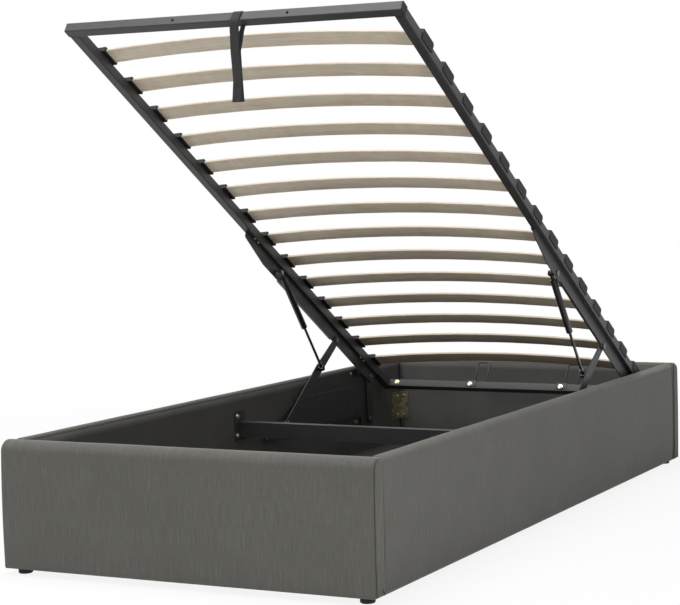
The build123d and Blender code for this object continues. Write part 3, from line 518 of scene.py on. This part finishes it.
def cloth_surface(name, points, finish, closed=False, lengths=None):
    """A mesh over points shaped (rows, columns, 3); with closed, the columns meet round the piece.

    The map's first value is the length along the rows, given or measured, and its second is the
    length across the columns, added up from point to point.
    """
    rows, columns = points.shape[:2]
    index = np.arange(rows * columns).reshape(rows, columns)
    wrapped = points
    if closed:
        index = np.concatenate([index, index[:, :1]], axis=1)
        wrapped = np.concatenate([points, points[:, :1]], axis=1)
    quads = np.stack(corners_of(index), axis=-1)
    mesh = bpy.data.meshes.new(name)
    mesh.from_pydata(points.reshape(-1, 3).tolist(), [], quads.reshape(-1, 4).tolist())
    v = np.concatenate([np.zeros((rows, 1)), np.cumsum(steps_along(wrapped, 1), axis=1)], axis=1)
    if lengths is None:
        lengths = np.concatenate([[0.0], np.cumsum(steps_along(points, 0).mean(axis=1))])
    u = np.broadcast_to(lengths[:, None], v.shape)
    corners = np.stack(corners_of(np.stack([u, v], axis=-1)), axis=2)
    layer = mesh.uv_layers.new(name="cloth")
    layer.data.foreach_set("uv", corners.reshape(-1).astype(np.float32))
    mesh.polygons.foreach_set("use_smooth", [True] * len(mesh.polygons))
    mesh.materials.append(finishes[finish])
    mesh.update()
    piece = bpy.data.objects.new(name, mesh)
    bpy.context.scene.collection.objects.link(piece)
    return piece


def soft_wave(along, up, seed):
    """Small swells in foam and cloth: seven long waves, each a sine along times a sine up."""
    draw = np.random.default_rng(seed)
    total = np.zeros(np.broadcast(along, up).shape)
    for _ in range(7):
        a, b = draw.uniform(3, 14), draw.uniform(4, 22)
        wave = np.sin(a * along + draw.uniform(0, 6))
        total = total + wave * np.sin(b * up + draw.uniform(0, 6))
    return total / 7


print("a grid of 3 by 4 points has", corners_of(np.zeros((3, 4)))[0].size, "cells")

# %% [markdown]
# ## Padded panels
# A padded panel is a board wrapped in foam and cloth. Its section has a gently crowned outer face
# and a rolled top. A subdivided box could be pushed into shape, but its roll would be uneven. So
# the section is drawn once and carried along the panel, and near each end it shrinks along its own
# normals, which rounds the end like a turned corner. A boxing strip is sewn round each end panel's
# rim, and its seam draws the cloth in by two to three millimetres.

# %% Section of a padded panel

Section = namedtuple("Section", "thickness outer_roll inner_roll crown bottom top")


def panel_section(section):
    """Points and inward normals round the section: up the face, over the roll, down the back.

    The face stands back by the crown times the square of a height that is 0 half way up the face,
    -1 at its foot and 1 at its head. Each roll is a quarter circle: one minus the cosine and one
    minus the sine of an angle, times the radius. A normal is the step from the point before to the
    point after, turned by a quarter.
    """
    thickness, outer_roll, inner_roll, crown, bottom, top = section
    up = np.linspace(0, 1, 34)
    face = [crown * (2 * up - 1) ** 2, bottom + (top - outer_roll - bottom) * up]
    turn = np.linspace(0, np.pi / 2, 12)[1:]
    cosine, sine = 1 - np.cos(turn), 1 - np.sin(turn)
    roll = [crown + outer_roll * cosine, top - outer_roll * sine]
    flat = np.linspace(crown + outer_roll, thickness - inner_roll, 4)[1:]
    back_roll = [thickness - inner_roll * sine, top - inner_roll * cosine]
    down = np.linspace(top - inner_roll, bottom, 24)[1:]
    under = np.linspace(thickness, crown, 8)[1:-1]
    stretches = [face, roll, (flat, np.full_like(flat, top)), back_roll,
                 (np.full_like(down, thickness), down), (under, np.full_like(under, bottom))]
    outline = np.concatenate([np.stack(stretch, axis=1) for stretch in stretches])
    ahead = np.roll(outline, -1, axis=0) - np.roll(outline, 1, axis=0)
    inward = np.stack([ahead[:, 1], -ahead[:, 0]], axis=1)
    return outline, inward / np.linalg.norm(inward, axis=1, keepdims=True)


end_low, end_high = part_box("footboard_cover")
rail_low, rail_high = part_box("right_rail_cover")
head_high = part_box("head_panel_cover")[1]
end_section = Section(end_high.y - end_low.y, 27 * MM, 12 * MM, 3 * MM, end_low.z, end_high.z)
rail_section = Section(rail_high.x - rail_low.x, 16 * MM, 8 * MM, 3 * MM, rail_low.z, rail_high.z)
print("points round a section:", len(panel_section(end_section)[0]))

# %% Along a padded panel

RING_STEP = 12 * MM
SEAM_WIDTH = 1.8 * MM
SWELL = 0.9 * MM
CAP_RINGS = 6


def along_panel(length, corner, seam):
    """Places along a panel, how far the section is drawn in there, and the cloth's length so far.

    Round a corner, by an angle that runs a quarter turn, the place is the radius times one minus
    the cosine, the inset is the radius times one minus the sine, and the cloth is the radius times
    the angle. A seam adds a bell curve to the inset at the middle of each corner.
    """
    turn = np.linspace(0, np.pi / 2, 15)
    place, rim = corner * (1 - np.cos(turn)), corner * (1 - np.sin(turn))
    inner = np.linspace(corner, length - corner, int(length / RING_STEP))[1:-1]
    where = np.concatenate([place, inner, length - place[::-1]])
    inset = np.concatenate([rim, np.zeros(len(inner)), rim[::-1]])
    cloth = np.concatenate([corner * turn, inner - corner + corner * np.pi / 2,
                            length - 2 * corner + corner * np.pi - corner * turn[::-1]])
    half = corner * np.pi / 4
    from_seam = np.minimum(np.abs(cloth - half), np.abs(cloth[-1] - half - cloth))
    return where, inset + seam * np.exp(-((from_seam / SEAM_WIDTH) ** 2)), cloth


def close_ends(rings, outline, section):
    """Adds shrinking rings at both ends. They close in on an upright line inside the panel."""
    middle = section.thickness / 2
    core = np.stack([np.full(len(outline), middle),
                     np.clip(outline[:, 1], section.bottom + middle, section.top - middle)], 1)
    grow = np.linspace(0.02, 0.9, CAP_RINGS)[:, None, None]
    first = core + (rings[:1] - core) * grow
    last = core + (rings[-1:] - core) * grow[::-1]
    return np.concatenate([first, rings, last])


def seal(mesh):
    """Merges doubled points, fills the two small holes and turns all normals outwards."""
    work = bmesh.new()
    work.from_mesh(mesh)
    bmesh.ops.remove_doubles(work, verts=work.verts, dist=0.01 * MM)
    open_edges = [edge for edge in work.edges if edge.is_boundary]
    bmesh.ops.holes_fill(work, edges=open_edges, sides=0)
    bmesh.ops.recalc_face_normals(work, faces=work.faces)
    work.to_mesh(mesh)
    work.free()
    mesh.polygons.foreach_set("use_smooth", [True] * len(mesh.polygons))


print("an end panel's cloth is", round(along_panel(1.0, END_CORNER, 0)[2][-1], 4), "m for 1 m")

# %% Build the padded panels

RAIL_SHIFT = 3.0


def padded_panel(node, origin, run_axis, in_axis, length, section, corner, seam, seed):
    """The upholstered cover of one panel, from its outline and the way it runs.

    Each ring is the outline moved along its normals by the inset less the swell. The swell fades
    out over the lowest 20 mm and round the corners. A rail's map starts further on, so that the
    painted seam shade of the end panels doesn't fall on it.
    """
    outline, normal = panel_section(section)
    where, inset, cloth = along_panel(length, corner, seam)
    swell = soft_wave(where[:, None] * 2.2, outline[None, :, 1] * 1.3, seed) * SWELL
    grip = np.clip((outline[:, 1] - section.bottom) / 0.02, 0, 1) * (inset[:, None] < 1 * MM)
    rings = outline[None] + normal[None] * (inset[:, None, None] - (swell * grip)[..., None])
    rings[..., 1] = np.maximum(rings[..., 1], section.bottom)
    rings = close_ends(rings, outline, section)
    cap = np.zeros(CAP_RINGS)
    where = np.concatenate([cap, where, cap + length])
    lengths = np.concatenate([cap, cloth, cap + cloth[-1]]) + (0 if seam else RAIL_SHIFT)
    points = (np.array(origin) + where[:, None, None] * np.array(run_axis)
              + rings[..., :1] * np.array(in_axis) + rings[..., 1:] * np.array([0, 0, 1]))
    piece = cloth_surface(f"{node}_upholstery", points, "upholstery", True, lengths)
    seal(piece.data)
    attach(piece, "base")
    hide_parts(node)
    return piece


end_shape = {"length": end_high.x - end_low.x, "section": end_section, "corner": END_CORNER,
             "seam": 2.4 * MM}
rail_shape = {"length": rail_high.y - rail_low.y, "section": rail_section, "corner": 9 * MM,
              "seam": 0.0}
panels = [
    padded_panel("footboard_cover", (-end_high.x, end_low.y, 0), (1, 0, 0), (0, 1, 0),
                 **end_shape, seed=3),
    padded_panel("head_panel_cover", (end_high.x, head_high.y, 0), (-1, 0, 0), (0, -1, 0),
                 **end_shape, seed=5),
    padded_panel("left_rail_cover", (-rail_high.x, rail_high.y, 0), (0, -1, 0), (1, 0, 0),
                 **rail_shape, seed=8),
    padded_panel("right_rail_cover", (rail_high.x, rail_low.y, 0), (0, 1, 0), (-1, 0, 0),
                 **rail_shape, seed=13),
]
print("panel faces:", [len(piece.data.polygons) for piece in panels])

# %% [markdown]
# ## Lining sheets
# The lining is cut to size, pulled flat over the inner faces and stapled under the panels' rolls.
# It could be a colour on the boards, but then it would have no edge under the rolls. So each sheet
# is a nearly flat grid. It swells by a fraction of a millimetre between its fixings, which breaks
# up the light that falls along it. A Solidify modifier gives the cloth its thickness.

# %% Stretch the lining over the boards

LINING_STEP = 20 * MM
LINING_THICKNESS = 1.2 * MM
LINING_SWELL = 0.3 * MM
LINING_SPACE = 1.5 * MM
UNDER_RAIL_ROLL = 10.5 * MM
UNDER_END_ROLL = 12.5 * MM


def thicken(piece, thickness):
    """Gives a sheet its thickness, half of it to each side."""
    solid = piece.modifiers.new("thickness", "SOLIDIFY")
    solid.thickness, solid.offset = thickness, 0


def stretched_lining(name, node, axis, plane, low, high, seed):
    """A flat sheet between two corners, given as (along, z), in the plane across one axis.

    It stands out by a soft wave that fades to its edges: 16 times a share of the side times the
    rest of it, held to 1, for both sides of the sheet.
    """
    run, height = high[0] - low[0], high[1] - low[1]
    steps = int(run / LINING_STEP)
    u, v = np.meshgrid(np.linspace(0, 1, steps), np.linspace(0, 1, 16), indexing="ij")
    fade = np.clip(16 * u * (1 - u), 0, 1) * np.clip(16 * v * (1 - v), 0, 1)
    points = np.zeros((*u.shape, 3))
    points[..., axis] = plane + soft_wave(u * run, v * height, seed) * fade * LINING_SWELL
    points[..., 1 - axis] = low[0] + u * run
    points[..., 2] = low[1] + v * height
    piece = cloth_surface(name, points, "lining")
    thicken(piece, LINING_THICKNESS)
    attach(piece, "base")
    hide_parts(node)
    return piece


linings = []
lined_low, lined_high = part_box("rail_linings")
for side, hand, seed in ((-1, "left_rail", 21), (1, "right_rail", 22)):
    linings.append(stretched_lining(
        f"{hand}_lining", "rail_linings", 0, side * (lined_high.x - LINING_SPACE / 2),
        (lined_low.y, lined_low.z), (lined_high.y, rail_high.z - UNDER_RAIL_ROLL), seed))
lined_low, lined_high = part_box("end_linings")
for side, hand, seed in ((-1, "footboard", 23), (1, "head_panel", 24)):
    linings.append(stretched_lining(
        f"{hand}_lining", "end_linings", 1, side * (lined_high.y - LINING_SPACE / 2),
        (lined_low.x, lined_low.z), (lined_high.x, end_high.z - UNDER_END_ROLL), seed))
print("lining sheets:", [piece.name for piece in linings])

# %% [markdown]
# ## Lift strap
# A length of webbing goes round the foot bar and is sewn to itself, and hangs as a pull. Its middle
# line is drawn once, in the plane of the bed's length: up the front, over the bar, down the back
# and in to the front strand again. Then it is widened across. The back strand lies a little to the
# right and turns as it comes in, which is what makes the strap look like cloth and not like a bar.
# A cloth simulation would find nearly the same line, but not always the same one.

# %% A line with rounded corners


def rounded_line(corners, radius, step=3 * MM):
    """Evenly spaced points along a line through the corners, each corner cut by a curve.

    The curve starts and ends at the radius from its corner, and is the quadratic blend of its
    start, the corner and its end.
    """
    corners = np.asarray(corners)
    share = np.linspace(0, 1, 9)[:, None]
    line = [corners[:1]]
    for before, here, after in zip(corners[:-2], corners[1:-1], corners[2:]):
        start = here + (before - here) * min(0.45, radius / np.linalg.norm(before - here))
        end = here + (after - here) * min(0.45, radius / np.linalg.norm(after - here))
        line.append((1 - share) ** 2 * start + 2 * share * (1 - share) * here + share ** 2 * end)
    line = np.concatenate([*line, corners[-1:]])
    far = np.concatenate([[0], np.cumsum(steps_along(line, 0))])
    even = np.linspace(0, far[-1], int(far[-1] / step))
    return np.stack([np.interp(even, far, line[:, k]) for k in range(3)], axis=1), even


print("points on a bend:", len(rounded_line([(0, 0, 0), (0, 0.1, 0), (0, 0.1, 0.1)], 10 * MM)[1]))

# %% Hang the strap

STRAP_THICKNESS = 1.7 * MM
HALF_BAR = 12.5 * MM
OFF_BAR = 1.4 * MM
BETWEEN_STRANDS = 2.4 * MM
TWIST, TWIST_AT, TWIST_REACH = radians(34), 0.61, 35 * MM


def hang_strap():
    """The strap: a middle line of points (x, y, z), spread by half a width to both sides.

    The strip is turned about the vertical by an angle that is a bell curve of the length along the
    strap, so it is turned most where the back strand comes in.
    """
    strap_low, strap_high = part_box("lift_strap")
    bar_low, bar_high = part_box("foot_bar")
    middle = np.array([(bar_low.y + bar_high.y) / 2, (bar_low.z + bar_high.z) / 2])
    foot = np.array([-np.cos(TILT), np.sin(TILT)])
    top = np.array([np.sin(TILT), np.cos(TILT)])
    front_low, front_high, back_high, back_low = (
        middle + (HALF_BAR + OFF_BAR) * (a * foot + b * top)
        for a, b in ((1, -1), (1, 1), (-1, 1), (-1, -1))
    )
    x = (strap_low.x + strap_high.x) / 2 + 3 * MM
    width = (strap_high.x - strap_low.x) * 0.88
    join, end = strap_high.z - 94 * MM, strap_low.z + 8 * MM
    front = front_low[0]
    behind = front + BETWEEN_STRANDS
    line, even = rounded_line([
        (x, front, end),
        (x + 4 * MM, front, end + 50 * MM),
        (x - 1 * MM, front, join),
        (x - 2 * MM, *front_low),
        (x + 1 * MM, *front_high),
        (x + 6 * MM, *back_high),
        (x + 7 * MM, *back_low),
        (x + 1 * MM, behind, join),
        (x + 4 * MM, behind, end + 50 * MM),
        (x + 7 * MM, behind, end),
    ], 6 * MM)
    total = even[-1]
    twist = TWIST * np.exp(-(((even - TWIST_AT * total) / TWIST_REACH) ** 2))
    facing = np.stack([np.cos(twist), -np.sin(twist), np.zeros_like(twist)], axis=1)
    across = np.linspace(-0.5, 0.5, 9)[None, :, None] * width
    points = line[:, None, :] + across * facing[:, None, :]
    piece = cloth_surface("lift_strap_webbing", points, "webbing", lengths=even)
    thicken(piece, STRAP_THICKNESS)
    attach(piece, "platform")
    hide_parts("lift_strap")
    return total


print("strap webbing in metres:", round(float(hang_strap()), 3))

# %% [markdown]
# ## Stage
# The bed stands on a plain floor before a white surround, as in a studio. A floor lit to pure white
# would throw that light back at the bed, so floor and world are made white only where they are
# looked at. As lights they stay as they are. Near the bed the floor still takes its shadow.

# %% Floor and world


def direct_view(tree):
    """1 where the floor or the world is seen, also in metal or through glass, else 0."""
    path = tree.nodes.new("ShaderNodeLightPath")
    kinds = ("Camera", "Glossy", "Transmission")
    camera, glossy, glass = (Socket(tree, path.outputs[f"Is {kind} Ray"]) for kind in kinds)
    return (camera + glossy + glass).math("MINIMUM", 1.0)


def make_floor(near, far_off, near_share):
    """A pale floor: white from far_off on, and white to the near share up to near, in metres."""
    f = Finish("pale_floor")
    f.set(Base_Color=(0.9, 0.9, 0.9), Roughness=0.8)
    place = f.node("ShaderNodeTexCoord", output="Object")
    far = f.node("ShaderNodeVectorMath", {"operation": "LENGTH"}, {0: place}, "Value")
    share = f.span(far, near, far_off, near_share, 1.0) * direct_view(f.tree)
    lit = Socket(f.tree, f.shader.outputs[0])
    white = f.node("ShaderNodeEmission", {}, {"Strength": 1.0})
    both = f.node("ShaderNodeMixShader", {}, {0: share, 1: lit, 2: white})
    f.tree.links.new(both.output, f.tree.nodes["Material Output"].inputs["Surface"])
    mesh = bpy.data.meshes.new("floor")
    mesh.from_pydata([(-40, -40, 0), (40, -40, 0), (40, 40, 0), (-40, 40, 0)], [], [(0, 1, 2, 3)])
    mesh.materials.append(f.material)
    floor = bpy.data.objects.new("floor", mesh)
    bpy.context.scene.collection.objects.link(floor)
    floor.location.z = -0.5 * MM


def make_world(fill):
    """A white surround that gives only a little light: fill is its strength as a lamp."""
    world = bpy.data.worlds.new("studio")
    bpy.context.scene.world = world
    world.use_nodes = True
    back = world.node_tree.nodes["Background"]
    strength = direct_view(world.node_tree) * (1 - fill) + fill
    world.node_tree.links.new(strength.output, back.inputs["Strength"])
    back.inputs["Color"].default_value = (1, 1, 1, 1)


make_floor(near=1.3, far_off=3.2, near_share=0.88)
make_world(fill=0.16)
print("floor and world made")

# %% [markdown]
# ## Light
# One large lamp overhead gives the panels' top rolls their light band and the bed its short shadow.
# A weak one lifts the footboard. A small one, near the front corner and to the side, lights the
# rail there more than at its far end. Sunlight would be simpler, but its hard shadows don't suit a
# studio picture.

# %% Lamps


def area_light(name, place, aim, size, power):
    """A square lamp that shines from a place towards a point."""
    lamp = bpy.data.lights.new(name, "AREA")
    lamp.shape, lamp.size, lamp.energy = "SQUARE", size, power
    holder = bpy.data.objects.new(name, lamp)
    bpy.context.scene.collection.objects.link(holder)
    holder.location = place
    holder.rotation_euler = (Vector(aim) - Vector(place)).to_track_quat("-Z", "Y").to_euler()


area_light("top_softbox", (-0.6, -0.8, 4.2), aim=(0, 0, 0.3), size=3.0, power=190)
area_light("front_softbox", (-2.4, -4.6, 1.6), aim=(0, -0.4, 0.3), size=2.6, power=18)
area_light("side_softbox", (2.4, -2.2, 1.0), aim=(0.5, -0.9, 0.2), size=0.9, power=15)
print("lamps:", sorted(lamp.name for lamp in bpy.data.lights))

# %% [markdown]
# ## Camera
# The camera stands where the photograph's did: low, in front of the footboard and to its right. Its
# place, its three turns, its focal length and its middle point were solved from the bed's straight
# edges. The picture's middle isn't the middle of the solved view, so the lens is shifted.

# %% Camera

PICTURE = (680, 605)
FOCAL = 1858.411
MIDDLE = (415.439, 315.426)
SENSOR_MM = 36.0


def place_camera(turn, dip, roll, place):
    """Turns about the vertical, then up or down, then about the line of sight, in radians."""
    forward = Vector((-np.sin(turn) * np.cos(dip), np.cos(turn) * np.cos(dip), np.sin(dip)))
    level = Vector((np.cos(turn), np.sin(turn), 0))
    upright = level.cross(forward)
    right = np.cos(roll) * level + np.sin(roll) * upright
    up = -np.sin(roll) * level + np.cos(roll) * upright
    matrix = Matrix((right, up, -forward)).transposed().to_4x4()
    matrix.translation = Vector(place)
    camera = bpy.data.objects.new("camera", bpy.data.cameras.new("camera"))
    bpy.context.scene.collection.objects.link(camera)
    camera.matrix_world = matrix
    camera.data.sensor_fit, camera.data.sensor_width = "HORIZONTAL", SENSOR_MM
    camera.data.lens = FOCAL / PICTURE[0] * SENSOR_MM
    camera.data.shift_x = (PICTURE[0] / 2 - MIDDLE[0]) / PICTURE[0]
    camera.data.shift_y = (MIDDLE[1] - PICTURE[1] / 2) / PICTURE[0]
    camera.data.clip_end = 200
    bpy.context.scene.camera = camera


place_camera(turn=0.4466, dip=-0.0725, roll=-0.0216, place=(2.2506, -4.5140, 0.8997))
bpy.context.scene.view_settings.view_transform = "Standard"
print("lens in millimetres:", round(bpy.context.scene.camera.data.lens, 1))
